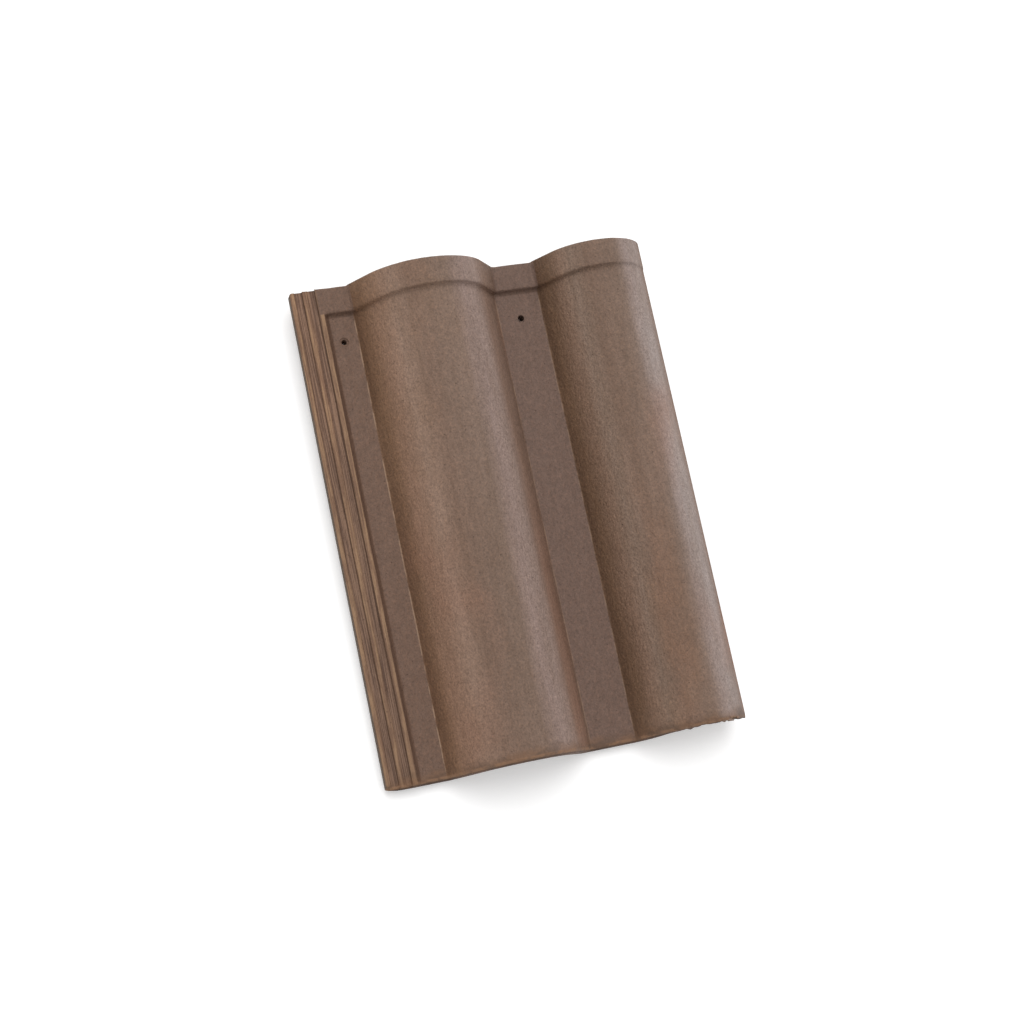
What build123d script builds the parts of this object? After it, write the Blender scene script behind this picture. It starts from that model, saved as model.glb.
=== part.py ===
from build123d import *
from math import atan2, cos, degrees, radians, sin, sqrt, tan
import os

os.makedirs("parts", exist_ok=True)

# Interlocking double roman roof tile, one piece of cast concrete, sizes in mm.
# Across the tile, sizes count from the edge of the low lock at the left.
# Along it, they count from the tail, and upward from the top of the pans.
tile_length = 432.0
tile_width = 314.0
wall = 12.0

# The wave: a narrow pan, a wide roll, the middle pan and a lower roll.
# A roll rises from the pan on a straight flank and goes over in one arc.
pan_start = 29.5
first_foot = 51.4
first_half = 63.6
first_crest = 51.0
middle_pan = 39.7
second_half_share = 0.56
second_crest_share = 0.45
flank = radians(56.5)
foot_round = 2.0
shoulder_round = 3.5

# The low lock at the left edge: three rails with two shallow channels between them.
lock_bottom = -9.0
channel_levels = (-0.3, 1.0)
rail_levels = (1.0, 2.0, 4.0)
rail_starts = (0.0, 11.1, 22.0)
rail_width = 4.0
rail_slope = 0.7
rail_round = 0.8

# The high lock under the right edge hooks over the low lock of the next tile.
lip_width = 6.0
lip_level = 4.5
hook_width = 5.4
hook_level = 1.8
inner_lip_width = 4.6
inner_lip_level = 3.0

# The raised band at the head and the rounded nose at the tail.
band_rise = 4.0
band_length = 24.0
band_fade = 0.7
nose_round = 4.0

# The nibs that hook over the batten, the weather bars and the nail holes.
nib_height = 14.0
nib_face = 29.0
nib_foot = 9.0
nib_toe = 20.0
nib_round = 1.5
first_nib_width = 18.0
second_nib_width = 30.0
bar_depth = 3.0
bar_width = 8.0
bar_places = (28.0, 50.0)
# the hole in the left pan came out narrower than the one in the middle pan
first_hole_radius = 1.9
second_hole_radius = 2.8
hole_below_head = 49.0
hole_from_foot = 12.4


def crown(half, crest):
    # radius of the arc that a straight flank runs into, from the foot half a roll away
    return (sin(flank) * half - cos(flank) * crest) / (1 - cos(flank))


def reach(radius, height):
    # how far an arc reaches sideways at a height over its centre
    return sqrt(radius**2 - height**2)


first_centre = first_foot + first_half
first_radius = crown(first_half, first_crest)
second_foot = first_centre + first_half + middle_pan
second_span = tile_width - second_foot
second_centre = second_foot + second_half_share * second_span
second_crest = second_crest_share * second_span
second_radius = crown(second_half_share * second_span, second_crest)
second_middle = second_crest - second_radius
edge_level = second_middle + reach(second_radius, tile_width - second_centre)
first_hole = first_foot - hole_from_foot
second_hole = second_foot - middle_pan / 2


def wave(start, upper, lower):
    # the face between two offsets of the wave, from a start at the left
    def foot(place, offset, side):
        return (place - side * offset * tan(flank / 2), offset)

    def top(centre, crest, offset):
        return (centre, crest + offset)

    def bend(centre, crest, radius, offset, side):
        # where the flank at one side runs into the crown
        out = (radius + offset) * sin(flank)
        return (centre - side * out, crest - radius + (radius + offset) * cos(flank))

    left = 1
    right = -1
    first_end = first_centre + first_half
    low_end = second_centre + reach(second_radius + lower, lip_level - second_middle)
    with BuildSketch() as sketch:
        with BuildLine():
            Line((start, lower), (start, upper))
            Line((start, upper), foot(first_foot, upper, left))
            Line(foot(first_foot, upper, left), bend(first_centre, first_crest, first_radius, upper, left))
            ThreePointArc(
                bend(first_centre, first_crest, first_radius, upper, left),
                top(first_centre, first_crest, upper),
                bend(first_centre, first_crest, first_radius, upper, right),
            )
            Line(bend(first_centre, first_crest, first_radius, upper, right), foot(first_end, upper, right))
            Line(foot(first_end, upper, right), foot(second_foot, upper, left))
            Line(
                foot(second_foot, upper, left),
                bend(second_centre, second_crest, second_radius, upper, left),
            )
            ThreePointArc(
                bend(second_centre, second_crest, second_radius, upper, left),
                top(second_centre, second_crest, upper),
                (tile_width, edge_level + band_fade * upper),
            )
            Line((tile_width, edge_level + band_fade * upper), (tile_width, lip_level))
            Line((tile_width, lip_level), (low_end, lip_level))
            ThreePointArc(
                (low_end, lip_level),
                top(second_centre, second_crest, lower),
                bend(second_centre, second_crest, second_radius, lower, left),
            )
            Line(
                bend(second_centre, second_crest, second_radius, lower, left),
                foot(second_foot, lower, left),
            )
            Line(foot(second_foot, lower, left), foot(first_end, lower, right))
            Line(foot(first_end, lower, right), bend(first_centre, first_crest, first_radius, lower, right))
            ThreePointArc(
                bend(first_centre, first_crest, first_radius, lower, right),
                top(first_centre, first_crest, lower),
                bend(first_centre, first_crest, first_radius, lower, left),
            )
            Line(bend(first_centre, first_crest, first_radius, lower, left), foot(first_foot, lower, left))
            Line(foot(first_foot, lower, left), (start, lower))
        make_face()
        feet = [
            foot(first_foot, upper, left),
            foot(first_end, upper, right),
            foot(second_foot, upper, left),
        ]
        fillet([sketch.vertices().sort_by_distance((*place, 0))[0] for place in feet], foot_round)
        shoulder = (tile_width, edge_level + band_fade * upper, 0)
        fillet(sketch.vertices().sort_by_distance(shoulder)[0], shoulder_round)
    return sketch.sketch


def low_lock():
    # three rails, two channels and the slope into the first pan
    tops = [(start, level) for start, level in zip(rail_starts, rail_levels)]
    ends = [(start + rail_width, level) for start, level in tops]
    with BuildSketch() as sketch:
        with BuildLine():
            Polyline(
                (0, lock_bottom),
                tops[0],
                ends[0],
                (rail_starts[0] + rail_width + rail_slope, channel_levels[0]),
                (rail_starts[1] - rail_slope, channel_levels[0]),
                tops[1],
                ends[1],
                (rail_starts[1] + rail_width + rail_slope, channel_levels[1]),
                (rail_starts[2] - rail_slope, channel_levels[1]),
                tops[2],
                ends[2],
                (pan_start, 0),
                (pan_start + wall / 4, 0),
                (pan_start + wall / 4, -wall),
                (pan_start - wall / 2, -wall),
                (pan_start - wall, lock_bottom),
                close=True,
            )
        make_face()
        crowns = [*tops, *ends[:-1]]
        fillet([sketch.vertices().sort_by_distance((*place, 0))[0] for place in crowns], rail_round)
    return sketch.sketch


def high_lock():
    # the outer lip, the hook and the inner lip, rooted in the wall of the roll
    hook_end = tile_width - lip_width
    hook_start = hook_end - hook_width
    inner_end = hook_start - inner_lip_width
    root = second_middle + reach(second_radius - wall / 2, second_centre - inner_end)
    with BuildSketch() as sketch:
        with BuildLine():
            Polyline(
                (inner_end, root),
                (inner_end, inner_lip_level),
                (hook_start - rail_slope, inner_lip_level),
                (hook_start, hook_level),
                (hook_end, hook_level),
                (hook_end + rail_slope, lip_level),
                (hook_end + rail_slope, lip_level + lip_width),
                close=True,
            )
        make_face()
        fillet(sketch.vertices().group_by(Axis.Y)[0], rail_round)
    return sketch.sketch


def nib_side():
    # side view of a nib, with its upright face towards the tail
    with BuildSketch() as sketch:
        with BuildLine():
            Polyline(
                (0, -wall / 2),
                (0, -wall - nib_height),
                (nib_foot, -wall - nib_height),
                (nib_toe, -wall),
                (nib_toe, -wall / 2),
                close=True,
            )
        make_face()
        fillet(sketch.vertices().group_by(Axis.Y)[0], nib_round)
    return sketch.sketch


nib_place = tile_length - nib_face
across = Plane(origin=(-tile_width / 2, -tile_length / 2, 0), x_dir=(1, 0, 0), z_dir=(0, -1, 0))
along = Plane(origin=(-tile_width / 2, nib_place - tile_length / 2, 0), x_dir=(0, 1, 0), z_dir=(1, 0, 0))

with BuildPart() as flat_tile:
    # the wave and both locks run the whole length
    with BuildSketch(across):
        add(wave(pan_start, 0, -wall))
        add(low_lock())
        add(high_lock())
    extrude(amount=-tile_length)
    # rounded nose: the edge runs on from the roll along the pans
    crowns = flat_tile.edges().filter_by(lambda edge: edge.geom_type == GeomType.CIRCLE)
    first_crown = crowns.filter_by(lambda arc: abs(arc.radius - first_radius) < 0.01)
    fillet(first_crown.sort_by(Axis.Y)[0], nose_round)
    # raised band at the head
    with BuildSketch(across.offset(band_length - tile_length)):
        add(wave(rail_starts[2] + rail_width / 2, band_rise, -wall / 2))
    extrude(amount=-band_length)
    # weather bars under the tail
    for place in bar_places:
        with BuildSketch(across.offset(bar_width / 2 - place)):
            add(wave(pan_start, -wall / 4, -wall - bar_depth))
        extrude(amount=-bar_width)
    # nibs under the head
    for centre, width in ((first_hole, first_nib_width), (second_hole, second_nib_width)):
        with BuildSketch(along.offset(centre - width / 2)):
            add(nib_side())
        extrude(amount=width)
    # nail holes through both pans
    hole_y = tile_length / 2 - hole_below_head
    for centre, radius in ((first_hole, first_hole_radius), (second_hole, second_hole_radius)):
        with Locations((centre - tile_width / 2, hole_y)):
            Cylinder(radius=radius, height=4 * wall, mode=Mode.SUBTRACT)

# The tile lies on its nibs and its first weather bar, so the head stands a little higher.
bar_edge = bar_places[0] - bar_width / 2
tilt = degrees(atan2(nib_height - bar_depth, nib_place + nib_round - bar_edge))
leaning = flat_tile.part.rotate(Axis.X, tilt).bounding_box()

with BuildPart() as roof_tile:
    with Locations((0, -leaning.center().Y, -leaning.min.Z)):
        add(flat_tile.part, rotation=(tilt, 0, 0))

roof_tile.part.label = "roof_tile"
export_step(roof_tile.part, "parts/roof_tile.step")
print("solids", len(roof_tile.part.solids()), "valid", roof_tile.part.is_valid)
print("volume", round(roof_tile.part.volume), "tilt", tilt)
print("moved", -leaning.center().Y, -leaning.min.Z)
print("centres", round(first_centre, 3), round(second_centre, 3))
print("levels", round(first_crest, 2), round(second_crest, 2), round(edge_level, 2))
print("radii", round(first_radius, 3), round(second_radius, 3), "second foot", round(second_foot, 3))
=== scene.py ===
# %% [markdown]
# # A double roman roof tile, from its section to its finish
# The real tile is one piece of concrete. A machine pushes wet mortar along a
# pallet under a shaped roller, so every line of the top runs lengthwise, and
# the head and the tail are cut and smoothed afterwards. The scene follows that
# way of making: a section is drawn with a pen, loops of it are joined along the
# tile, and the head, the tail, the nibs and the nail holes are worked in after.

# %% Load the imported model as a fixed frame
from math import asin, atan2, cos, radians, sin, sqrt, tan

import bmesh
import bpy
from mathutils import Euler, Matrix, Vector


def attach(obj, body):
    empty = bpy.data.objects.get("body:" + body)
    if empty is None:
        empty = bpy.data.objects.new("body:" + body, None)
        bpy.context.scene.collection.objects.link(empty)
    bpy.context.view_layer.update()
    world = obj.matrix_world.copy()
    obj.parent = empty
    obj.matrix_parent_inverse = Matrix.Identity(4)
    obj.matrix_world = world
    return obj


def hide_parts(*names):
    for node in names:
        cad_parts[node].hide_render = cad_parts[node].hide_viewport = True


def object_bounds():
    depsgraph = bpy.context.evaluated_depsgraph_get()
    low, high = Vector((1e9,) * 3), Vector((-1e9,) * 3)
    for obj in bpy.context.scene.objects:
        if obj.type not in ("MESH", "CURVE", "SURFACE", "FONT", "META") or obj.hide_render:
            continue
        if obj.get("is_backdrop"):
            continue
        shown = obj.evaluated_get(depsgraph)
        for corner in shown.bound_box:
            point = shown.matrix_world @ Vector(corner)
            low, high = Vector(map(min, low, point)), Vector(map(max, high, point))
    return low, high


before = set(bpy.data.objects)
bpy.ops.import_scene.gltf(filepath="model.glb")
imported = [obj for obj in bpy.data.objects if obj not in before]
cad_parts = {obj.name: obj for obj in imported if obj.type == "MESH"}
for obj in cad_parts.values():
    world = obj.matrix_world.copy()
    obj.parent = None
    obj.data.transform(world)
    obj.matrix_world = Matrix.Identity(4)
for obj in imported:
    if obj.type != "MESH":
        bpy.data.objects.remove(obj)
cad_low, cad_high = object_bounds()
mm = 0.001
print("the frame's box in mm", [round(v / mm, 2) for v in (*cad_low, *cad_high)])

# %% [markdown]
# ## The sizes of the section
# Across the tile, sizes count from the edge of the low lock at the left, and
# upward from the top of the pans. A roll leaves the pan on a straight flank and
# goes over in one arc, so a roll is known by its feet, its crest and its flank.
# They are the CAD model's own sizes, repeated because only the frame is read.

# %% Sizes of the wave in mm
tile_width = 314.0
tile_length = 432.0
wall = 12.0
pan_start = 29.5
first_foot, first_half, first_crest = 51.4, 63.6, 51.0
middle_pan = 39.7
second_half_share, second_crest_share = 0.56, 0.45
flank = radians(56.5)
foot_shift = tan(flank / 2)
foot_round = 2.0
shoulder = 3.5


def crown(half, crest):
    """The radius of the arc that flanks half a roll away run into."""
    return (sin(flank) * half - cos(flank) * crest) / (1 - cos(flank))


first_centre = first_foot + first_half
first_radius = crown(first_half, first_crest)
first_middle = first_crest - first_radius
second_foot = first_centre + first_half
third_foot = second_foot + middle_pan
second_half = second_half_share * (tile_width - third_foot)
second_crest = second_crest_share * (tile_width - third_foot)
second_centre = third_foot + second_half
second_radius = crown(second_half, second_crest)
second_middle = second_crest - second_radius
print("wide roll of radius", round(first_radius, 2), "and low roll of", round(second_radius, 2))

# %% [markdown]
# The locks are the parts that a roofer notices: three rails and two channels at
# the left edge, and under the right edge a hook between two lips, which sits in
# the channels of the next tile. The rails are given by where they start and how
# high they stand.

# %% Sizes of the locks in mm
lock_bottom = -9.0
channel_levels = (-0.3, 1.0)
rails = ((0.0, 1.0), (11.1, 2.0), (22.0, 4.0))
rail_width = 4.0
rail_slope = 0.7
lip_width, lip_level = 6.0, 4.5
hook_width, hook_level = 5.4, 1.8
inner_lip_width, inner_lip_level = 4.6, 3.0
hook_end = tile_width - lip_width
hook_start = hook_end - hook_width
inner_lip = hook_start - inner_lip_width
edge_round, hollow_round, crease_round = 0.8, 0.5, 0.4
print("hook from", round(hook_start, 2), "to", round(hook_end, 2))

# %% [markdown]
# ## A pen for rounded lines
# A section could be typed in as a list of points, but a maker thinks in lines
# and fillets. The pen is one vertex, made by merging a small plane. Extruding it
# draws a straight line and spinning it draws an arc, so each corner needs only
# its place, its radius and how many steps it takes. All sections take the same
# steps, so two of them can be bridged with neat four-sided faces.

# %% The pen
def pen_down(x, y, z):
    """One vertex at a place in mm."""
    bpy.ops.mesh.select_all(action="DESELECT")
    bpy.ops.mesh.primitive_plane_add(size=mm, location=(x * mm, y * mm, z * mm))
    bpy.ops.mesh.merge(type="CENTER")


def rounded_line(corners, y):
    """Draws through corners of (x, z, radius, steps before, steps round)."""
    places = [Vector(corner[:2]) for corner in corners]
    here = places[0]
    pen_down(here.x, y, here.y)
    for i in range(1, len(corners)):
        radius, before, around = corners[i][2:]
        stop = places[i]
        if around:
            way = (places[i] - places[i - 1]).normalized()
            onward = (places[i + 1] - places[i]).normalized()
            turn = atan2(way.cross(onward), way.dot(onward))
            stop = stop - way * radius * abs(tan(turn / 2))
        for _ in range(before):
            move = ((stop.x - here.x) / before * mm, 0, (stop.y - here.y) / before * mm)
            bpy.ops.mesh.extrude_region_move(TRANSFORM_OT_translate={"value": move})
        if before:
            here = stop
        if around:
            inward = Vector((-way.y, way.x)) * radius * (1 if turn > 0 else -1)
            centre = here + inward
            bpy.ops.mesh.spin(
                steps=around,
                angle=turn,
                center=(centre.x * mm, y * mm, centre.y * mm),
                axis=(0, 1, 0),
            )
            here = centre + Matrix.Rotation(turn, 2) @ -inward


# %% [markdown]
# ## One section of the tile
# The same outline serves the whole length. At the head its top is raised for the
# band, at the tail it sinks for the rounded nose, and under the tail its bottom
# is lowered for the weather bars, so those levels are what a section is given.
# The raised arc of the low roll is squeezed to the left, because on the real
# tile the band fades out before it reaches the right edge. A squeezed arc still
# has to leave the same flank, which fixes how far its centre rises with it.

# %% The outline
band_squeeze = 0.415
squeeze_rise = sin(flank) / (1 - cos(flank))


def arc_corner(centre, middle, radius, left, right):
    """The point where the tangents at both ends of an arc meet."""
    lean = (right - left) / 2
    out = radius / cos((left + right) / 2)
    return centre + out * sin(lean), middle + out * cos(lean)


def outline(y, top=0.0, under=-wall, share=1.0, drop=0.0):
    """Draws the section at y. share scales the rails and drop lowers the lock."""
    low = channel_levels[0] - drop
    (x1, z1), (x2, z2), (x3, z3) = (
        (start, low + (level - channel_levels[0]) * share) for start, level in rails
    )
    floor1, floor2 = low, low + (channel_levels[1] - channel_levels[0]) * share
    top_round = foot_round + max(-top, 0)
    # the radius of the upper arcs, and the centre and level of the second
    r1 = first_radius + top
    squeezed = band_squeeze * top
    c2 = second_centre - squeezed
    m2 = second_middle + squeeze_rise * squeezed
    r2 = second_radius + top - squeeze_rise * squeezed
    # the shoulder between the low roll and the right edge
    reach = tile_width - shoulder - c2
    edge_angle = asin(reach / (r2 - shoulder))
    across = (tile_width - c2 - r2 * sin(edge_angle)) / cos(edge_angle)
    edge_top = m2 + r2 * cos(edge_angle) - across * sin(edge_angle)
    # the underside
    u1 = first_radius + under
    u2 = second_radius + under
    root_angle = asin((inner_lip - second_centre) / u2)
    root = second_middle + u2 * cos(root_angle)
    corners = [
        # the low lock, its rails at x1, x2 and x3
        (x1, lock_bottom, 0, 0, 0),
        (x1, z1, 1.8, 3, 4),
        (x1 + rail_width, z1, edge_round, 2, 2),
        (x1 + rail_width + rail_slope, floor1, hollow_round, 2, 1),
        (x2 - rail_slope, floor1, crease_round, 2, 1),
        (x2, z2, edge_round, 2, 2),
        (x2 + rail_width, z2, edge_round, 2, 2),
        (x2 + rail_width + rail_slope, floor2, hollow_round, 2, 1),
        (x3 - rail_slope, floor2, crease_round, 2, 1),
        (x3, z3, edge_round, 2, 2),
        (x3 + rail_width, z3, edge_round, 2, 2),
        # pans and rolls
        (pan_start, top, 1.0, 2, 1),
        (first_foot - top * foot_shift, top, top_round, 10, 3),
        (*arc_corner(first_centre, first_middle, r1, flank, flank), r1, 14, 48),
        (second_foot + top * foot_shift, top, top_round, 14, 3),
        (third_foot - top * foot_shift, top, top_round, 18, 3),
        (*arc_corner(c2, m2, r2, flank, edge_angle), r2, 12, 44),
        # the high lock
        (tile_width, edge_top, shoulder, 0, 5),
        (tile_width, lip_level, edge_round, 5, 2),
        (hook_end + rail_slope, lip_level, crease_round, 2, 1),
        (hook_end, hook_level, edge_round, 2, 2),
        (hook_start, hook_level, edge_round, 2, 2),
        (hook_start - rail_slope, inner_lip_level, crease_round, 2, 1),
        (inner_lip, inner_lip_level, edge_round, 1, 2),
        (inner_lip, root, 0, 5, 0),
        # back along the underside
        (*arc_corner(second_centre, second_middle, u2, flank, root_angle), u2, 0, 22),
        (third_foot - under * foot_shift, under, foot_round, 6, 2),
        (second_foot + under * foot_shift, under, foot_round, 9, 2),
        (*arc_corner(first_centre, first_middle, u1, flank, flank), u1, 7, 24),
        (first_foot - under * foot_shift, under, foot_round, 7, 2),
        (pan_start, under, 0, 6, 0),
        (pan_start - hollow_round, -wall, 0, 1, 0),
        (pan_start - wall / 2, -wall, hollow_round, 2, 1),
        (pan_start - wall, lock_bottom, hollow_round, 2, 1),
        (x1, lock_bottom, 0, 6, 0),
    ]
    rounded_line(corners, y)


print("the band moves the low roll's arc left by", band_squeeze, "of its rise")

# %% [markdown]
# ## Loops along the tile
# The nose at the tail is a quarter round, the weather bars are two ribs below,
# and the band at the head starts with a small cove. Each change gets its own
# loops, close together, and the long runs between need only two.

# %% Plan the loops
nose = 4.0
nose_steps = 5
nose_end = 6.5
bar_places, bar_depth = (28.0, 50.0), 3.0
bar_top, bar_foot = 3.6, 4.6
band_rise = 4.0
cove_steps = ((404.6, 0), (406.2, 0.25), (407.2, 1.1), (407.9, 2.6), (408.7, 3.6), (409.8, band_rise))
bevel_along, bevel_down = 0.8, 0.7

stations = []
for step in range(nose_steps + 1):
    angle = radians(90 / nose_steps * step)
    along, sink = nose * (1 - cos(angle)), nose * (1 - sin(angle))
    stations.append((along, -sink, -wall, 1 - 0.2 * sink, sink / 2))
stations.append((nose_end, 0.0, -wall))
for bar in bar_places:
    for along, deep in ((-bar_foot, 0), (-bar_top, bar_depth), (bar_top, bar_depth), (bar_foot, 0)):
        stations.append((bar + along, 0.0, -wall - deep))
for along, rise in cove_steps:
    stations.append((along, rise))
stations.append((tile_length - bevel_along, band_rise))
stations.append((tile_length, band_rise - bevel_down))
print(len(stations), "loops from", stations[0][0], "to", stations[-1][0])

# %% [markdown]
# The loops are drawn in one mesh, one after the other. Where a line comes back
# to its start, two vertices lie on each other, so doubles are merged at the end.

# %% Draw the loops
bpy.ops.object.select_all(action="DESELECT")
bpy.ops.mesh.primitive_plane_add(size=mm)
tile = bpy.context.object
tile.name = tile.data.name = "tile_body"
bpy.ops.object.mode_set(mode="EDIT")
bpy.ops.mesh.delete(type="VERT")
for station in stations:
    outline(*station)
bpy.ops.mesh.select_all(action="SELECT")
bpy.ops.mesh.remove_doubles(threshold=0.02 * mm)
bpy.ops.object.mode_set(mode="OBJECT")
count = len(tile.data.vertices)
print("loops of about", count // len(stations), "points,", count, "in all")

# %% [markdown]
# ## From loops to a closed body
# The roller leaves one skin from head to tail, so each pair of neighbouring
# loops is bridged. Bridge also makes cuts between the loops, and a long run gets
# one about every two millimetres, so that the skin can be roughened later. The
# two end loops are closed with a face each, and the normals are turned outwards.

# %% Bridge them
def pick(test):
    """Selects what stands at places that pass the test, in mm, in edit mode."""
    shape = bmesh.from_edit_mesh(bpy.context.object.data)
    for vertex in shape.verts:
        vertex.select_set(test(vertex.co / mm))
    shape.select_flush(True)
    bmesh.update_edit_mesh(bpy.context.object.data)


grain_step = 2.2
near = 0.01
bpy.ops.object.mode_set(mode="EDIT")
bpy.ops.mesh.select_mode(type="VERT")
places = [station[0] for station in stations]
for low, high in zip(places, places[1:]):
    bpy.ops.mesh.select_all(action="DESELECT")
    pick(lambda at: min(abs(at.y - low), abs(at.y - high)) < near)
    cuts = max(0, round((high - low) / grain_step) - 1)
    bpy.ops.mesh.bridge_edge_loops(number_cuts=cuts, interpolation="LINEAR")
for end in (0, tile_length):
    bpy.ops.mesh.select_all(action="DESELECT")
    pick(lambda at: abs(at.y - end) < near)
    bpy.ops.mesh.edge_face_add()
bpy.ops.mesh.select_all(action="SELECT")
bpy.ops.mesh.normals_make_consistent(inside=False)
bpy.ops.object.mode_set(mode="OBJECT")
print("faces along the tile", len(tile.data.polygons))

# %% [markdown]
# ## Nibs
# Two nibs under the head hook over the batten. Each is a block with an upright
# face towards the tail and a slope towards the head, so that it leaves the
# pallet. A cube of the right size, its lower back edge pulled in and its lower
# edges bevelled, is joined to the tile with a Boolean.

# %% Nibs under the head
def cut_or_join(tool, operation):
    """Applies one Boolean of a tool to the tile and deletes the tool."""
    bpy.ops.object.select_all(action="DESELECT")
    tile.select_set(True)
    bpy.context.view_layer.objects.active = tile
    boolean = tile.modifiers.new("boolean", "BOOLEAN")
    boolean.operation, boolean.object, boolean.solver = operation, tool, "EXACT"
    bpy.ops.object.modifier_apply(modifier=boolean.name)
    bpy.data.objects.remove(tool)


hole_from_foot = 12.4
first_hole = first_foot - hole_from_foot
second_hole = third_foot - middle_pan / 2
nib_face = 403.0
nib_height, nib_toe, nib_foot, nib_round = 14.0, 20.0, 9.0, 1.5
left_width, middle_width = 18.0, 30.0
buried = 5.0
tall = nib_height + buried
for middle, width in ((first_hole, left_width), (second_hole, middle_width)):
    bpy.ops.object.select_all(action="DESELECT")
    bpy.ops.mesh.primitive_cube_add(
        size=1,
        scale=(width * mm, nib_toe * mm, tall * mm),
        location=(middle * mm, (nib_face + nib_toe / 2) * mm, (buried - wall - tall / 2) * mm),
    )
    nib = bpy.context.object
    bpy.ops.object.transform_apply(location=True, rotation=True, scale=True)
    bpy.ops.object.mode_set(mode="EDIT")
    bpy.ops.mesh.select_all(action="DESELECT")
    pick(lambda at: at.y > nib_face + 1 and at.z < -wall)
    bpy.ops.transform.translate(value=(0, (nib_foot - nib_toe) * mm, 0))
    bpy.ops.mesh.select_all(action="DESELECT")
    pick(lambda at: at.z < -wall)
    bpy.ops.mesh.bevel(offset=nib_round * mm, segments=3)
    bpy.ops.object.mode_set(mode="OBJECT")
    cut_or_join(nib, "UNION")
print("with nibs", len(tile.data.polygons), "faces")

# %% [markdown]
# ## Nail holes
# A hole is pressed through each pan, near the head. The left one came out
# narrower, in the middle of a small dimple. So the cutter is a cylinder whose
# top is widened in steps of (rise, widening), more and deeper for the dimple.
# The level is where the widening starts, and the steps end just above the pan,
# because a cutter that ends level with the surface would leave a skin on it.

# %% Nail holes
hole_place = 383.0
left_radius, middle_radius = 1.9, 2.8
clean_rim = (-0.7, ((0.5, 1.09), (0.4, 1.14)))
dimple = (-1.4, ((0.25, 1.28), (0.35, 1.22), (0.45, 1.16), (0.6, 1.13)))
holes = ((first_hole, left_radius, dimple), (second_hole, middle_radius, clean_rim))
for middle, radius, (level, steps) in holes:
    bpy.ops.object.select_all(action="DESELECT")
    bpy.ops.mesh.primitive_cylinder_add(
        vertices=32,
        radius=radius * mm,
        depth=2 * wall * mm,
        location=(middle * mm, hole_place * mm, (level - wall) * mm),
    )
    punch = bpy.context.object
    bpy.ops.object.transform_apply(location=True, rotation=True, scale=True)
    bpy.ops.object.mode_set(mode="EDIT")
    bpy.ops.mesh.select_all(action="DESELECT")
    pick(lambda at: at.z > level - 1)
    for rise, wider in steps:
        bpy.ops.mesh.extrude_region_move(
            TRANSFORM_OT_translate={"value": (0, 0, rise * mm)}
        )
        bpy.ops.transform.resize(
            value=(wider, wider, 1),
            center_override=(middle * mm, hole_place * mm, 0),
        )
    bpy.ops.object.mode_set(mode="OBJECT")
    cut_or_join(punch, "DIFFERENCE")
print("with holes", len(tile.data.polygons), "faces")

# %% [markdown]
# ## Wear and the skin of the mortar
# No cast tile is true to its mould. The surface swells and dips a little where
# the mortar packed unevenly, and the roller leaves a fine orange peel. The tail
# edge of the low roll has crumbled, the tail of the low lock is rubbed off, and
# the corner at its head is rounded. Sculpting these would be slow and hard to
# repeat, so each one is a Displace modifier that reads a vertex group, which is
# a painted weight set by place. Nearly all of them push inwards, so the tile
# never outgrows its mould.

# %% Weights by place
corner = 1.7


def weigh(name, rule):
    """A vertex group whose weight a rule gives from place and normal, in mm."""
    group = tile.vertex_groups.new(name=name)
    counts = 0
    for vertex in tile.data.vertices:
        weight = rule(vertex.co / mm, vertex.normal)
        if weight > 0.001:
            group.add([vertex.index], min(weight, 1.0), "REPLACE")
            counts += 1
    print(name, "holds", counts, "vertices")


def ramp(value, start, end):
    """0 at the start, 1 at the end and smooth between them."""
    share = min(max((value - start) / (end - start), 0.0), 1.0)
    return share * share * (3 - 2 * share)


def rubbed(x):
    """The tail of the low lock: cut back to the left, with a round corner and a notch."""
    slant = max(0, 0.75 - x / 15)
    return slant + 0.25 * ramp(x, 1.8, 0) + 0.35 * max(0, 1 - abs(x - 10.9) / 0.9)


def quarter_round(x):
    """How much of a round corner is missing at x, from 1 at the edge to 0."""
    inside = min(max(x / corner, 0), 1)
    return 1 - sqrt(1 - (1 - inside) ** 2)


weigh("skin", lambda at, out: ramp(out.z, 0.15, 0.5))
weigh("crumbled", lambda at, out: ramp(at.x, 232, 250) * ramp(at.y, 7, 1.5))
weigh("rubbed", lambda at, out: rubbed(at.x) * ramp(at.y, 14, 2))
weigh("corner", lambda at, out: quarter_round(at.x) * ramp(at.y, 424, 430))

# %% [markdown]
# Three clouds press the skin, from swells as wide as a palm to an orange peel of
# a few millimetres. The wear at head and tail moves along the tile instead of
# along the normal, so an edge is pushed back and keeps its section.

# %% Displace
def press(group, strength, size=0.0, direction="NORMAL", middle=1.0):
    """Moves a weighted part of the tile, by a cloudy texture if a size is given."""
    modifier = tile.modifiers.new(group, "DISPLACE")
    modifier.vertex_group, modifier.direction = group, direction
    modifier.strength, modifier.mid_level = strength * mm, middle
    if size:
        texture = bpy.data.textures.new(group, "CLOUDS")
        texture.noise_scale = size * mm
        modifier.texture, modifier.texture_coords = texture, "LOCAL"
    bpy.ops.object.modifier_apply(modifier=modifier.name)
    print(group, "pressed by up to", strength, "mm")


bpy.ops.object.select_all(action="DESELECT")
tile.select_set(True)
bpy.context.view_layer.objects.active = tile
press("skin", 0.9, size=70)
press("skin", 0.35, size=9)
press("skin", 0.3, size=4)
press("crumbled", 5.0, size=3.5, direction="Y", middle=0.2)
press("rubbed", 2.6, direction="Y", middle=0.0)
press("corner", -corner, direction="Y", middle=0.0)
tile.vertex_groups.clear()

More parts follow.
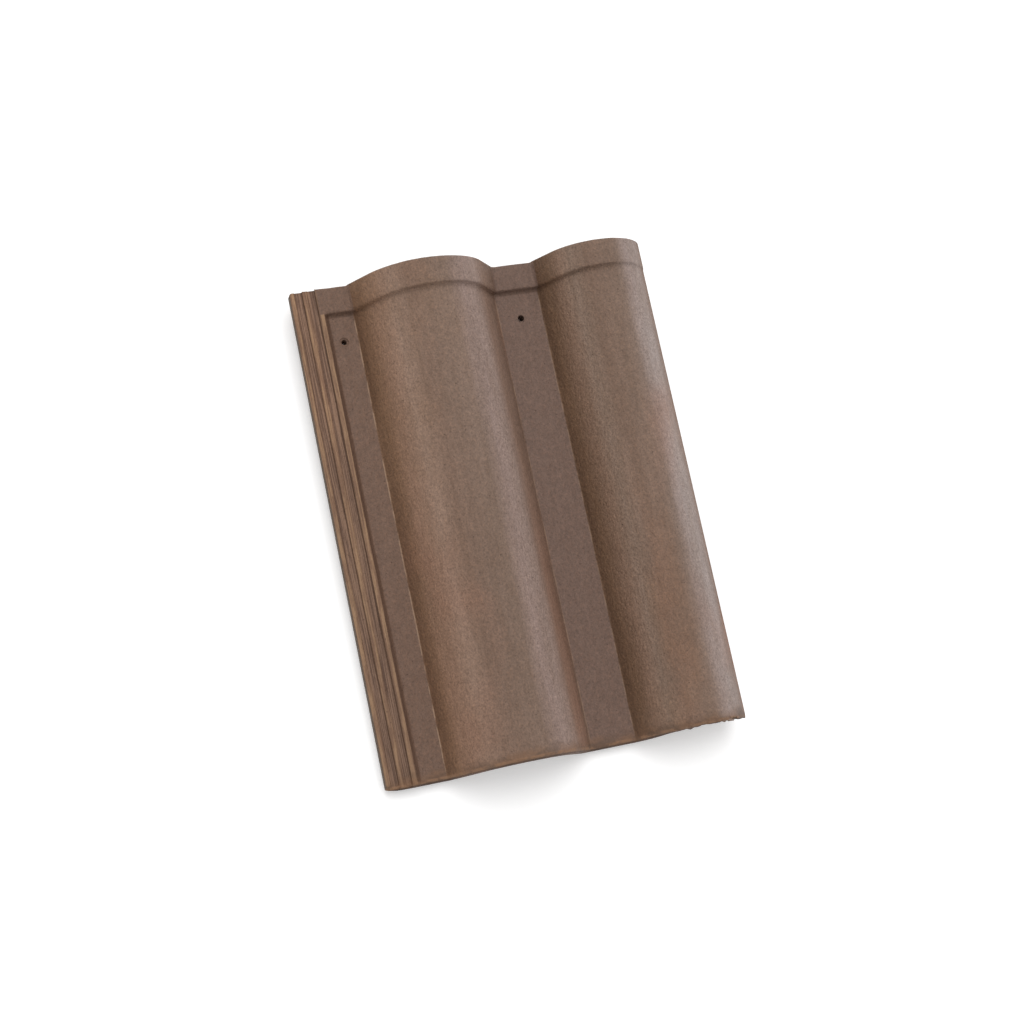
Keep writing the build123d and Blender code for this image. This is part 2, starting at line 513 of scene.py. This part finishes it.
# %% [markdown]
# ## Lay it down
# On a level floor the tile rests on its two nibs and on the first weather bar,
# so it leans by a degree and a half. Two of the frame's own measures place it:
# its lowest point is on the floor, and the lower edge of its head is where the
# frame's box ends. The turn and the move are applied to the mesh, which leaves
# the object at the origin as the frame's own nodes are.

# %% Lay the tile on its nibs and its first bar
bar_half = 4.0
nib_rest = nib_face + nib_round
lean = atan2(nib_height - bar_depth, nib_rest - (bar_places[0] - bar_half))
nib_centre = Vector((nib_rest - tile_length / 2, nib_round - nib_height - wall))
nib_bottom = nib_centre.x * sin(lean) + nib_centre.y * cos(lean) - nib_round
head_reach = tile_length / 2 * cos(lean) + wall * sin(lean)
lift = Vector((0, cad_high[1] / mm - head_reach, -nib_bottom))
tile.location = (-tile_width / 2 * mm, -tile_length / 2 * mm, 0)
bpy.ops.object.transform_apply(location=True, rotation=True, scale=True)
tile.rotation_euler = (lean, 0, 0)
tile.location = lift * mm
bpy.ops.object.transform_apply(location=True, rotation=True, scale=True)
bpy.ops.object.shade_smooth_by_angle(angle=radians(35))
print("leans by", round(lean / radians(1), 4), "degrees, lifted by", [round(v, 4) for v in lift])

# %% [markdown]
# ## A brown concrete, mixed in nodes
# The tile is coloured right through with iron oxides and lightly blended on its
# face: mauve brown pans, warmer flanks, a pale tone on the right shoulder of
# each roll and ochre streaks on the rails of the lock. Painted light is laid in
# too: painted shade at the feet of the rolls, in the cove, in the pinholes and in
# the lock's corners, a painted highlight and sheen on the rolls' shoulders, and
# painted light and shade along the tile. An image could hold all
# this, but nodes stay sharp at any distance and wrap over every edge. A few
# helpers keep them readable: each adds nodes to the tree that is current and
# hands back an output, which the next one takes as an input.

# %% Node helpers
def paint(*levels):
    """A colour as a screen shows it, 0 to 255, made linear."""
    shares = [level / 255 for level in levels]
    return (*[v / 12.92 if v < 0.04045 else ((v + 0.055) / 1.055) ** 2.4 for v in shares], 1)


concrete = bpy.data.materials.new("brown_concrete")
concrete.use_nodes = True
tree = concrete.node_tree
surface = tree.nodes["Principled BSDF"]


def add(kind, inputs=(), **settings):
    """Adds a node, sets it up, and gives each input a value or a link."""
    node = tree.nodes.new("ShaderNode" + kind)
    for name, value in settings.items():
        setattr(node, name, value)
    for name, value in dict(inputs).items():
        if isinstance(value, bpy.types.NodeSocket):
            tree.links.new(value, node.inputs[name])
        else:
            node.inputs[name].default_value = value
    return node


def sums(operation, first, second=0.0, third=0.0):
    """One Math node."""
    return add("Math", {0: first, 1: second, 2: third}, operation=operation).outputs[0]


def times(first, *others):
    """All of them multiplied."""
    for other in others:
        first = sums("MULTIPLY", first, other)
    return first


def either(first, *others):
    """The largest of them."""
    for other in others:
        first = sums("MAXIMUM", first, other)
    return first


def between(value, start, end, low=0.0, high=1.0):
    """A smooth step from low to high as a value goes from start to end."""
    wires = {"Value": value, "From Min": start, "From Max": end, "To Min": low, "To Max": high}
    return add("MapRange", wires, interpolation_type="SMOOTHSTEP").outputs["Result"]


def strip(value, start, full, fading, end):
    """1 from full to fading, and smoothly 0 before start and after end."""
    return times(between(value, start, full), between(value, end, fading))


def mixed(share, first, second, blend="MIX"):
    """One colour laid over another, as far as a share says."""
    wires = {0: share, 6: first, 7: second}
    return add("Mix", wires, data_type="RGBA", blend_type=blend).outputs[2]


def shade(base, share, tint):
    """Darkens or lightens a colour by a tint, as far as a share says."""
    return mixed(share, base, mixed(1.0, base, (*tint, 1), "MULTIPLY"))


print("a middle brown is", [round(v, 3) for v in paint(118, 96, 82)])

# %% [markdown]
# ## Places on the tile
# Every colour below belongs to a place on the tile, such as a rail or a foot of
# a roll. Object coordinates stay with the mesh, and a Mapping node turns and
# scales them back to the way the section was drawn: x from the edge of the low
# lock and y from the tail, in millimetres. Noise is drawn in them too, so the
# size of each grain is given in millimetres as well.

# %% The tile's own millimetres
turned = Euler((-lean, 0, 0))
origin = lift.copy()
origin.rotate(turned)
mapping = add(
    "Mapping",
    {
        "Vector": add("TexCoord").outputs["Object"],
        "Location": Vector((tile_width / 2, tile_length / 2, 0)) - origin,
        "Rotation": turned,
        "Scale": (1 / mm, 1 / mm, 1 / mm),
    },
)
tile_place = mapping.outputs["Vector"]
axes = add("SeparateXYZ", {0: tile_place}).outputs
x, y = axes["X"], axes["Y"]


def grain(size, stretch=1.0, detail=2.0, seed=0.0):
    """Noise with features of a size in mm, drawn out along the tile."""
    fine = (1 / size, 1 / size / stretch, 1 / size)
    scaled = add("VectorMath", {0: tile_place, 1: fine}, operation="MULTIPLY").outputs[0]
    moved = add("VectorMath", {0: scaled, 1: (seed, seed, seed)}).outputs[0]
    return add("TexNoise", {"Vector": moved, "Scale": 1.0, "Detail": detail}).outputs["Fac"]


print("the tile's own corner is at", [round(v, 2) for v in mapping.inputs["Location"].default_value])

# %% [markdown]
# ## Colour and painted light across the rolls
# Both rolls are coloured by the same rule: a place is turned into a share of the
# roll's width, from -1 at the left foot through 0 at the crest to 1 at the right
# foot, and a Color Ramp gives the tint for it. Besides browns, the ramp holds
# painted light: painted shade at both feet, a painted highlight on the left
# shoulder and a pale painted sheen on the right one. A slow noise lets the bands
# wander.

# %% The roll's tints and painted light
def roll_share(centre, half):
    """Where a place is on a roll, from -1 to 1."""
    return sums("DIVIDE", sums("SUBTRACT", x, centre), half)


def tints(share, stops):
    """A Color Ramp through stops of (position, colour)."""
    node = add("ValToRGB", {0: share})
    ends = node.color_ramp.elements
    ends[0].position, ends[0].color = stops[0]
    ends[1].position, ends[1].color = stops[-1]
    for position, color in stops[1:-1]:
        ends.new(position).color = color
    return node.outputs["Color"]


pan_middle = 198.5
is_second = between(x, pan_middle - 0.5, pan_middle + 0.5)
share_first = roll_share(first_centre, first_half)
share_second = roll_share(second_centre, second_half)
share = add("Mix", {0: is_second, 2: share_first, 3: share_second}).outputs[0]
wander_by, roll_width = 14.0, 130.0
wander = times(sums("SUBTRACT", grain(55, 3), 0.5), wander_by / roll_width)
wavy = sums("ADD", share, wander)
# painted light in the ramp: the dark ends are painted shade at both feet, the stop at 0.14 is a painted
# highlight on the left shoulder, and the stops from 0.70 to 0.80 are a pale painted sheen on the right
# shoulder
roll_colour = tints(
    sums("MULTIPLY_ADD", wavy, 0.5, 0.5),
    [
        (0.0, paint(98, 70, 50)),
        (0.06, paint(121, 91, 69)),
        (0.14, paint(143, 113, 94)),
        (0.22, paint(139, 114, 98)),
        (0.34, paint(120, 96, 81)),
        (0.48, paint(118, 96, 82)),
        (0.60, paint(123, 102, 89)),
        (0.70, paint(142, 122, 114)),
        (0.80, paint(147, 127, 118)),
        (0.88, paint(137, 112, 98)),
        (1.0, paint(108, 85, 71)),
    ],
)
print("the ramp starts at", [round(v, 3) for v in paint(98, 70, 50)])

# %% [markdown]
# No tile comes out as even as a ramp. A pale tone with a painted sheen is
# strongest on the right shoulder of the low roll and fades at its edge and
# towards the head, and the very edge is darkened with painted shade. The rest are
# thin tints laid over: olive with painted shade on the low roll's left flank,
# rust beside the middle pan, a warm stain on the low roll, and painted shade
# along the wide roll's foot, heavier towards the head, with painted light near
# the tail.

# %% Sheen, painted shade and tints over the ramp
# olive tint and painted shade on the low roll's left flank
olive_and_shade = times(is_second, between(x, 262, 240))
roll_colour = shade(roll_colour, olive_and_shade, (0.85, 0.89, 0.91))
rust = times(strip(x, 158, 168, 174, 178), between(y, 300, 120))
roll_colour = shade(roll_colour, rust, (1.16, 1.07, 1.02))
warm = times(strip(x, 240, 254, 270, 282), between(y, 260, 90))
warm = times(warm, between(grain(30, 2.5, seed=14.0), 0.35, 0.6))
roll_colour = shade(roll_colour, warm, (1.1, 1.01, 0.93))
# painted shade along the wide roll's left foot towards the head, and painted light on it towards the tail
foot_light_and_shade = strip(x, 50, 53, 60, 74)
roll_colour = shade(roll_colour, times(foot_light_and_shade, between(y, 200, 340)), (0.93, 0.91, 0.86))
roll_colour = shade(roll_colour, times(foot_light_and_shade, between(y, 170, 60)), (1.06, 1.06, 1.06))
# a pale tone and a painted sheen on the low roll's right shoulder
pale_tone_and_sheen = times(between(x, 276, 302), between(x, 312, 302.5, 0.12, 1.0), between(y, 385, 335, 0.6, 1.0))
roll_colour = mixed(times(pale_tone_and_sheen, 0.75), roll_colour, paint(160, 148, 144))
# painted shade at the very edge of the right shoulder
roll_colour = shade(roll_colour, between(x, 304.5, 308), (0.94, 0.96, 0.98))
print("tinted the rolls with", len(tree.nodes), "nodes so far")

# %% [markdown]
# The pans lie lower, catch less of the spray and keep the body's own mauve
# brown. Where a roll starts is a line on the real tile, so the change from pan
# to roll takes less than a millimetre.

# %% Pans and rolls together
line_half = 0.4
on_first = strip(
    x, first_foot - line_half, first_foot + line_half, second_foot - line_half, second_foot + line_half
)
on_roll = either(on_first, between(x, third_foot - line_half, third_foot + line_half))
pan_colour = mixed(between(x, 60, 170), paint(110, 86, 72), paint(109, 87, 76))
face = mixed(on_roll, pan_colour, roll_colour)
print("a pan's brown is", [round(v, 3) for v in paint(109, 87, 76)])

# %% [markdown]
# ## Patches, streaks and grain
# The blend of pigments leaves soft patches a hand wide, the roller drags streaks
# along the tile, and sand shows as pale and dark grains about a millimetre
# across. Each is a noise of its own size, and is laid on with a light hand.

# %% Soft patches
ochre_width, red_width = 95, 80
ochre_patch = times(between(grain(ochre_width, 2.2, 3, seed=3.0), 0.52, 0.72, 0, 0.45), on_roll)
face = mixed(ochre_patch, face, paint(134, 104, 80))
red_patch = times(between(grain(red_width, 1.6, seed=11.0), 0.55, 0.75, 0, 0.35), on_roll)
face = mixed(red_patch, face, paint(146, 106, 86))
# painted shade: the whole face grows darker towards the tail
face = shade(face, between(y, 330, 60, 0, 0.3), (0.82, 0.78, 0.76))
print("patches about", ochre_width, "and", red_width, "mm wide")

# %% [markdown]
# Bands, peel and sand come in pairs: the noise lightens the face at one end of
# its range and darkens it at the other. Both shares are alike, so the mean
# colour hardly moves when the grain is made stronger. Ripples and fine streaks
# only darken.

# %% Streaks and grain
bands = grain(11, 9, seed=16.0)
ripples = grain(6, 2.2, seed=17.0)
streaks = grain(2.6, 7, 3, seed=5.0)
peel = grain(2.4, 1.6, seed=6.0)
sand = grain(1.3, 1.2, 3, seed=1.0)
rough = sums("MULTIPLY_ADD", on_roll, 0.1, 0.35)
for amount, tint in (
    (times(between(bands, 0.4, 0.66), on_roll), (0.93, 0.92, 0.9)),
    (times(between(bands, 0.5, 0.3), on_roll), (1.05, 1.05, 1.05)),
    (between(ripples, 0.42, 0.64, 0, 0.6), (0.92, 0.9, 0.88)),
    (between(streaks, 0.35, 0.68, 0, 0.2), (0.72, 0.68, 0.64)),
    (times(between(peel, 0.48, 0.72), rough), (1.3, 1.28, 1.26)),
    (times(between(peel, 0.5, 0.28), rough), (0.75, 0.72, 0.69)),
    (between(sand, 0.5, 0.72, 0, 0.68), (1.4, 1.36, 1.32)),
    (between(sand, 0.5, 0.3, 0, 0.68), (0.62, 0.58, 0.55)),
):
    face = shade(face, amount, tint)
print("pans and rolls take", len(tree.nodes), "nodes")

# %% [markdown]
# ## The low lock
# The rails rub against the next tile's hook in the stack, so their tops are
# ochre and pale, and the channels between stay dark and pinkish. The streaks run
# the whole length, so the noise is drawn out seventy times along the tile. The
# lock is a little paler at the head, by painted light, and darker at the tail, by
# painted shade.

# %% The lock's streaks
long_streaks = grain(0.8, 70, 3, seed=2.0)
broken = grain(2.0, 14, 3, seed=7.0)
lock = mixed(between(long_streaks, 0.4, 0.6), paint(90, 66, 52), paint(132, 103, 83))
ochre = mixed(between(broken, 0.38, 0.6), paint(122, 92, 71), paint(152, 120, 91))
sides = [(start, start + rail_width) for start, level in rails]
rail_tops = either(*(strip(x, left - 0.6, left + 0.5, right - 0.8, right + 0.5) for left, right in sides))
lock = mixed(times(rail_tops, between(long_streaks, 0.3, 0.5, 0.3, 0.85)), lock, ochre)
# painted light: the lock is paler towards the head
lock = shade(lock, times(between(y, 200, 380), between(x, 21.5, 19)), (1.12, 1.1, 1.09))
# painted shade: the lock is darker towards the tail
lock = shade(lock, times(between(y, 200, 60), between(x, 4, 6)), (0.9, 0.9, 0.91))
print("streaks on", len(rails), "rails")

# %% [markdown]
# Thin dark lines of painted shade make rails read as rails: in the shaded corner
# at the left side of the second and third one, on the slope into the pan, which
# lies in the wide roll's shade, and along the outer edge. Below the band the
# lock's colour reaches the pan, and beside the band only the first two rails show it.

# %% The lock's lines of painted shade
# painted shade in the corners at the foot of the second and third rail, and on the slope into the pan
corners = either(*(strip(x, left - 1.1, left - 0.7, left - 0.2, left + 0.1) for left, right in sides[1:]))
slope = strip(x, 25.6, 26.6, 28.8, 30.8)
lock = mixed(times(corners, 0.75), lock, paint(78, 54, 40))
lock = mixed(times(slope, 0.85), lock, paint(86, 62, 48))
# painted shade along the lock's outer edge
lock = mixed(between(x, 0.45, 0.15), lock, paint(80, 62, 46))
band_start = 408.0
lock_end, band_side = 29.0, 22.0
on_lock = times(between(x, lock_end + 1.5, lock_end), between(y, band_start + 1, band_start))
beside_band = between(x, band_side + 0.6, band_side)
colour = mixed(either(on_lock, beside_band), face, lock)
print("the lock's colour ends at", lock_end, "mm, beside the band at", band_side, "mm")

# %% [markdown]
# ## Creases and the nose
# Where a pan meets a roll the roller leaves a thin pale line of fines, broken
# here and there. The nose at the tail is rubbed by hand while wet, which brings
# up a redder, darker skin, with a worn line on its edge. Below that line the tail
# edge is darkened with a painted shadow.

# %% Creases and nose
for foot, amount in ((first_foot, 0.5), (second_foot, 0.22), (third_foot, 0.25)):
    off = sums("ABSOLUTE", sums("SUBTRACT", x, foot))
    unbroken = times(between(off, 0.75, 0.2), between(y, 404, 398))
    line = times(unbroken, between(grain(5, 3, seed=foot), 0.38, 0.6, 0.0, amount))
    colour = mixed(line, colour, paint(176, 146, 120))
skin_end = 20.0
wavering = sums("MULTIPLY_ADD", grain(14, 1, seed=4.0), 14.0, y)
nose_skin = mixed(between(grain(16, 0.6, seed=8.0), 0.4, 0.6), paint(84, 62, 46), paint(118, 86, 62))
colour = mixed(between(wavering, skin_end, skin_end / 2, 0, 0.6), colour, nose_skin)
worn = between(grain(7, 0.7, seed=15.0), 0.4, 0.6, 0.1, 0.6)
colour = mixed(times(strip(y, 1.0, 1.8, 3.0, 4.4), worn), colour, paint(146, 110, 82))
# painted shadow along the lowest part of the tail edge
colour = shade(colour, between(y, 1.7, 0.6, 0, 0.85), (0.45, 0.4, 0.37))
print("the nose is darker up to", skin_end, "mm at most")

# %% [markdown]
# ## Painted shade in the cove
# The cove below the band is darkened with painted shade. It is darkest across
# the pans and nearly gone on top of the rolls and towards the right edge, and it
# stays off the lock, which has no cove.

# %% The cove
cove_low, cove_high = 404.4, 410.0
cove = times(strip(y, cove_low, cove_low + 1.2, cove_high - 2.5, cove_high), between(x, 25, 28))
deep = sums("MULTIPLY_ADD", on_roll, -0.45, 0.62)
# painted shade in the cove, lighter on the rolls and fading towards the right edge
colour = shade(colour, times(cove, deep, between(x, 300, 262)), (0.55, 0.48, 0.42))
print("the cove's painted_shade lies from", cove_low, "to", cove_high, "mm")

# %% [markdown]
# ## Bump and sheen
# The shape comes from the mesh. Bump adds only what is finer than its faces: the
# orange peel on the rolls, the sand grains and a few pinholes left by air. All
# of it goes into one height, because a chain of Bump nodes is slower and each
# would soften the one before.

# %% Bump, pinholes and roughness
fine = grain(0.9, seed=9.0)
cells = add("TexVoronoi", {"Vector": tile_place, "Scale": 1 / 7.0, "Randomness": 1.0}, feature="F1")
pinholes = between(cells.outputs["Distance"], 0.075, 0.04)
height = times(fine, 0.1)
for part, amount in ((peel, 0.45), (sand, 0.16), (pinholes, -0.35), (times(long_streaks, on_lock), 0.3)):
    height = sums("MULTIPLY_ADD", part, amount, height)
# painted shade inside the pinholes
colour = mixed(times(pinholes, 0.5), colour, paint(70, 50, 40))
bump = add("Bump", {"Strength": 1.0, "Distance": 1.9 * mm, "Height": height})
tree.links.new(bump.outputs["Normal"], surface.inputs["Normal"])
tree.links.new(colour, surface.inputs["Base Color"])
tree.links.new(between(sand, 0.2, 0.8, 0.62, 0.8), surface.inputs["Roughness"])
surface.inputs["Specular IOR Level"].default_value = 0.4
print("concrete has", len(tree.nodes), "nodes")

# %% [markdown]
# ## The finished piece
# The tile is one piece of one material. It rides on the frame's only body, and it
# is shown in place of the plain tile.

# %% Bind the piece to the frame
tile.data.materials.clear()
tile.data.materials.append(concrete)
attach(tile, "root")
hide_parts("roof_tile")
print("dressed", tile.name)

# %% [markdown]
# ## Studio
# The photo shows a white ground with a soft shadow round the tail. The ground is
# white paper. Part of what the camera sees of it is plain white, by Light Path,
# so the shadow stays but the paper clears to white, and nothing brighter falls
# on the tile for it. The glow starts just inside the edge of the tile and is
# left out below it, so that the nail holes look into the dark, as they do on
# the real tile.

# %% Floor
def seen_plainly():
    """1 for the rays that see the backdrop, straight or by a mirror or glass."""
    paths = add("LightPath").outputs
    return either(paths["Is Camera Ray"], paths["Is Glossy Ray"], paths["Is Transmission Ray"])


bpy.ops.object.select_all(action="DESELECT")
bpy.ops.mesh.primitive_plane_add(size=14)
floor = bpy.context.object
floor.name = "studio_floor"
floor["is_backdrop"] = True
paper = bpy.data.materials.new("white_paper")
paper.use_nodes = True
tree = paper.node_tree
ground = tree.nodes["Principled BSDF"]
ground.inputs["Base Color"].default_value = (0.93, 0.93, 0.93, 1)
ground.inputs["Roughness"].default_value = 1.0
ground.inputs["Specular IOR Level"].default_value = 0.0
spot = add("SeparateXYZ", {0: add("TexCoord").outputs["Object"]}).outputs
sideways = sums("DIVIDE", sums("ABSOLUTE", spot["X"]), tile_width / 2 * mm)
lengthways = sums("DIVIDE", sums("ABSOLUTE", spot["Y"]), tile_length / 2 * mm)
dark_end, glow_start = 0.86, 0.96
beside = between(either(sideways, lengthways), dark_end, glow_start)
glow = add("Emission", {"Color": (1, 1, 1, 1), "Strength": times(seen_plainly(), beside, 0.27)})
cleared = add("AddShader", {0: ground.outputs[0], 1: glow.outputs[0]})
tree.links.new(cleared.outputs[0], tree.nodes["Material Output"].inputs["Surface"])
floor.data.materials.append(paper)
print("floor has", len(tree.nodes), "nodes")

# %% [markdown]
# ## Light
# The tile's flanks are lit evenly and nothing on it has a hard shadow, so most
# of the light is a pale sky. A very wide sun stands over the head, a little to
# the right, which gives the rolls their form and draws the soft shadow below
# the tail. The camera sees the sky itself as plain white.

# %% Sky and sun
world = bpy.data.worlds.new("studio")
bpy.context.scene.world = world
world.use_nodes = True
tree = world.node_tree
sky = tree.nodes["Background"]
sky.inputs["Color"].default_value = (1, 1, 1, 1)
sky.inputs["Strength"].default_value = 0.62
white = add("Background", {"Color": (1, 1, 1, 1), "Strength": 1.0})
backdrop = add("MixShader", {0: seen_plainly(), 1: sky.outputs[0], 2: white.outputs[0]})
tree.links.new(backdrop.outputs[0], tree.nodes["World Output"].inputs["Surface"])

sun = bpy.data.lights.new("key", "SUN")
sun.energy, sun.angle = 1.58, radians(55)
key = bpy.data.objects.new("key", sun)
bpy.context.scene.collection.objects.link(key)
sunlight = Vector((-0.1, -0.7, -1.4))
key.rotation_euler = sunlight.to_track_quat("-Z", "Y").to_euler()
print("sky", sky.inputs["Strength"].default_value, "and sun", sun.energy)

# %% [markdown]
# ## Camera
# The photo was taken from above, over the low lock and a little towards the
# tail, and turned, so that the tile leans to the left. The camera's place, turn
# and lens were worked out from the tile's outline in the photo, and the small
# shift frames it as the photo does.

# %% Camera
camera = bpy.data.cameras.new("camera")
camera.lens, camera.sensor_width = 66.662, 36
camera.shift_x, camera.shift_y = -0.0312, -0.0008
camera_place = (-0.43533, -0.32106, 1.55849)
camera_turn = (14.48, -13.8214, -12.8112)
camera_object = bpy.data.objects.new("camera", camera)
bpy.context.scene.collection.objects.link(camera_object)
camera_object.location = camera_place
camera_object.rotation_euler = Euler([radians(v) for v in camera_turn])
bpy.context.scene.camera = camera_object
bpy.context.scene.view_settings.view_transform = "Standard"
print("camera", round(camera_object.location.length, 3), "m from the tile")

# %% [markdown]
# ## Measure and finish
# Last, the visible tile is measured beside the frame. It has to stay inside the
# plain tile's box, as a worn casting stays inside its mould.

# %% Write both boxes and finish
low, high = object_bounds()
print("visual box in mm", [round(v / mm, 2) for v in (*low, *high)])
